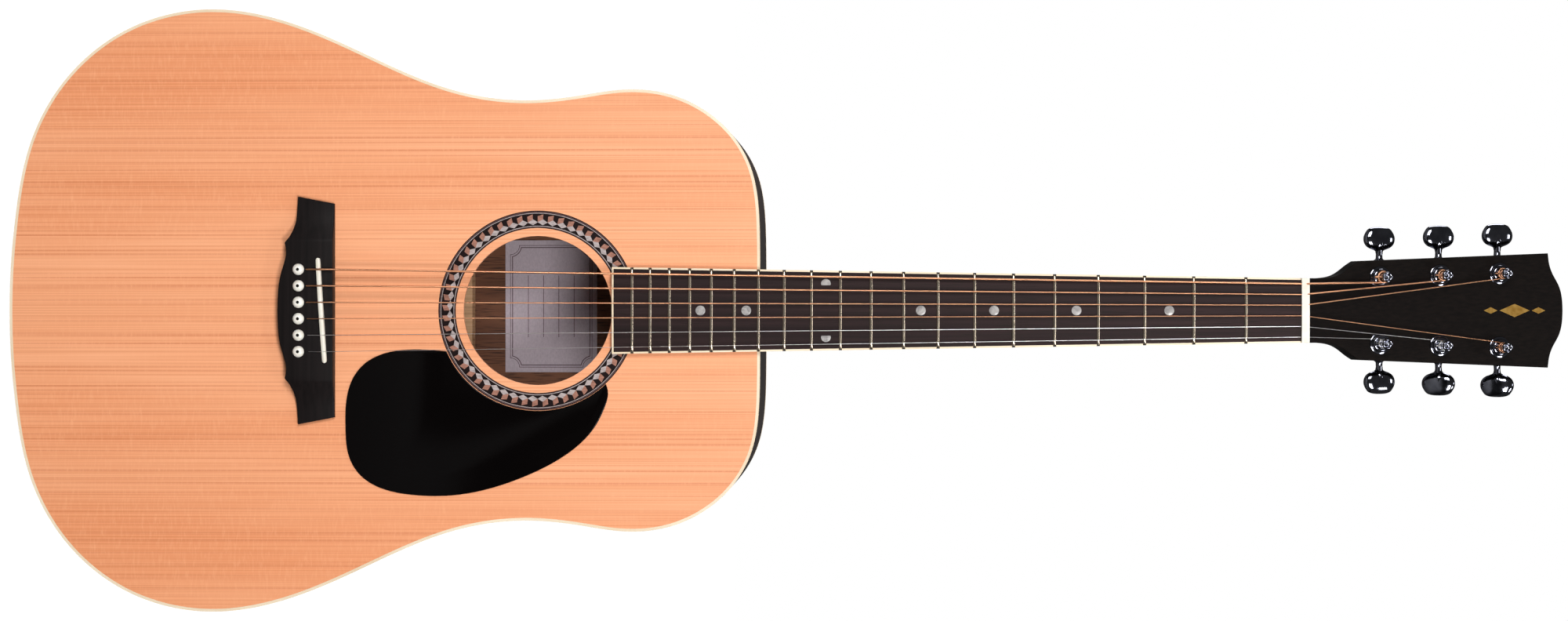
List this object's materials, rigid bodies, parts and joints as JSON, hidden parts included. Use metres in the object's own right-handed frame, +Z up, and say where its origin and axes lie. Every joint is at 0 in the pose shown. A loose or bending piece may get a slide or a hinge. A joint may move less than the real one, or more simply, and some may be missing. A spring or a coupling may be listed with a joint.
{
  "type": "acoustic guitar",
  "caption": "Full-size flat-top steel-string acoustic guitar with a square-shouldered body, round soundhole, pickguard, pin bridge and geared tuners on a tilted headstock.",
  "frame": {"origin": "on the centre line at the face of the nut, in the fingerboard's glue plane, where a hanger's yoke holds the neck under the headstock", "axes": "+Z up the neck to the headstock, -Y out of the soundboard, +X to the side of the thin strings"},
  "size_m": [0.407, 0.1334, 1.0654],
  "materials": {
    "spruce_top": "satin",
    "inner_spruce": "bare",
    "maple": "bare",
    "mahogany": "gloss lacquer",
    "neck_wood": "satin lacquer",
    "dark_wood": "satin",
    "headstock_black": "satin black",
    "rosewood": "oiled",
    "bridge_black": "satin",
    "cream_binding": "gloss",
    "rosette_mosaic": "inlaid, satin",
    "paper_label": "matte paper",
    "pickguard_black": "gloss",
    "fret_wire": "polished",
    "pearl_dot": "gloss",
    "bone": "polished bone",
    "pin_white": "gloss",
    "rod_steel": "oiled",
    "strap_button": "polished",
    "chrome_tuner": "polished",
    "bronze_string": "wound",
    "plain_string": "drawn"
  },
  "bodies": {
    "root": {"soundboard": "spruce_top", "top_lining": "inner_spruce", "back_lining": "inner_spruce", "x_braces": "inner_spruce", "tone_bars": "inner_spruce", "transverse_brace": "inner_spruce", "back_braces": "inner_spruce", "neck_block": "inner_spruce", "tail_block": "inner_spruce", "bridge_plate": "maple", "back_plate": "mahogany", "side_bass": "mahogany", "side_treble": "mahogany", "neck": "neck_wood", "heel_cap": "dark_wood", "headstock_veneer": "headstock_black", "fingerboard": "rosewood", "bridge": "bridge_black", "fingerboard_binding": "cream_binding", "top_binding": "cream_binding", "back_binding": "cream_binding", "rosette": "rosette_mosaic", "label": "paper_label", "pickguard": "pickguard_black", "frets": "fret_wire", "position_dots": "pearl_dot", "nut": "bone", "saddle": "bone", "bridge_pins": "pin_white", "truss_rod": "rod_steel", "end_pin": "strap_button", "tuner_housings": "chrome_tuner", "tuner_bushings": "chrome_tuner", "tuner_washers": "chrome_tuner", "tuner_screws": "chrome_tuner", "string_1": "bronze_string", "string_2": "bronze_string", "string_3": "bronze_string", "string_4": "bronze_string", "string_5": "plain_string", "string_6": "plain_string"},
    "rod_adjuster": {"truss_rod_nut": "rod_steel"},
    "key_low_e": {"tuner_worm_1": "chrome_tuner", "tuner_button_1": "chrome_tuner"},
    "post_low_e": {"tuner_post_1": "chrome_tuner"},
    "key_a": {"tuner_worm_2": "chrome_tuner", "tuner_button_2": "chrome_tuner"},
    "post_a": {"tuner_post_2": "chrome_tuner"},
    "key_d": {"tuner_worm_3": "chrome_tuner", "tuner_button_3": "chrome_tuner"},
    "post_d": {"tuner_post_3": "chrome_tuner"},
    "key_g": {"tuner_worm_4": "chrome_tuner", "tuner_button_4": "chrome_tuner"},
    "post_g": {"tuner_post_4": "chrome_tuner"},
    "key_b": {"tuner_worm_5": "chrome_tuner", "tuner_button_5": "chrome_tuner"},
    "post_b": {"tuner_post_5": "chrome_tuner"},
    "key_high_e": {"tuner_worm_6": "chrome_tuner", "tuner_button_6": "chrome_tuner"},
    "post_high_e": {"tuner_post_6": "chrome_tuner"}
  },
  "joints": [
    {"name": "truss_rod_turn", "type": "hinge", "parent": "root", "child": "rod_adjuster", "pos_m": [0, 0.0075, -0.418], "axis": [0, 0, 1], "range_deg": [-270, 270]},
    {"name": "key_turn_low_e", "type": "hinge", "parent": "root", "child": "key_low_e", "pos_m": [-0.0222, 0.033, 0.05828], "axis": [-1, 0, 0], "continuous": true},
    {"name": "post_turn_low_e", "type": "hinge", "parent": "root", "child": "post_low_e", "pos_m": [-0.0222, 0.01219, 0.0544], "axis": [0, -0.9703, 0.2419], "continuous": true, "deforming": ["string_1"]},
    {"name": "key_turn_a", "type": "hinge", "parent": "root", "child": "key_a", "pos_m": [-0.02355, 0.04345, 0.1002], "axis": [-1, 0, 0], "continuous": true},
    {"name": "post_turn_a", "type": "hinge", "parent": "root", "child": "post_a", "pos_m": [-0.02355, 0.02264, 0.09632], "axis": [0, -0.9703, 0.2419], "continuous": true, "deforming": ["string_2"]},
    {"name": "key_turn_d", "type": "hinge", "parent": "root", "child": "key_d", "pos_m": [-0.0249, 0.0539, 0.14212], "axis": [-1, 0, 0], "continuous": true},
    {"name": "post_turn_d", "type": "hinge", "parent": "root", "child": "post_d", "pos_m": [-0.0249, 0.03309, 0.13824], "axis": [0, -0.9703, 0.2419], "continuous": true, "deforming": ["string_3"]},
    {"name": "key_turn_g", "type": "hinge", "parent": "root", "child": "key_g", "pos_m": [0.0249, 0.0539, 0.14212], "axis": [1, 0, 0], "continuous": true},
    {"name": "post_turn_g", "type": "hinge", "parent": "root", "child": "post_g", "pos_m": [0.0249, 0.03309, 0.13824], "axis": [0, -0.9703, 0.2419], "continuous": true, "deforming": ["string_4"]},
    {"name": "key_turn_b", "type": "hinge", "parent": "root", "child": "key_b", "pos_m": [0.02355, 0.04345, 0.1002], "axis": [1, 0, 0], "continuous": true},
    {"name": "post_turn_b", "type": "hinge", "parent": "root", "child": "post_b", "pos_m": [0.02355, 0.02264, 0.09632], "axis": [0, -0.9703, 0.2419], "continuous": true, "deforming": ["string_5"]},
    {"name": "key_turn_high_e", "type": "hinge", "parent": "root", "child": "key_high_e", "pos_m": [0.0222, 0.033, 0.05828], "axis": [1, 0, 0], "continuous": true},
    {"name": "post_turn_high_e", "type": "hinge", "parent": "root", "child": "post_high_e", "pos_m": [0.0222, 0.01219, 0.0544], "axis": [0, -0.9703, 0.2419], "continuous": true, "deforming": ["string_6"]}
  ],
  "couplings": [
    {"joint": "post_turn_low_e", "follows": "key_turn_low_e", "ratio": 0.071429},
    {"joint": "post_turn_a", "follows": "key_turn_a", "ratio": 0.071429},
    {"joint": "post_turn_d", "follows": "key_turn_d", "ratio": 0.071429},
    {"joint": "post_turn_g", "follows": "key_turn_g", "ratio": -0.071429},
    {"joint": "post_turn_b", "follows": "key_turn_b", "ratio": -0.071429},
    {"joint": "post_turn_high_e", "follows": "key_turn_high_e", "ratio": -0.071429}
  ]
}
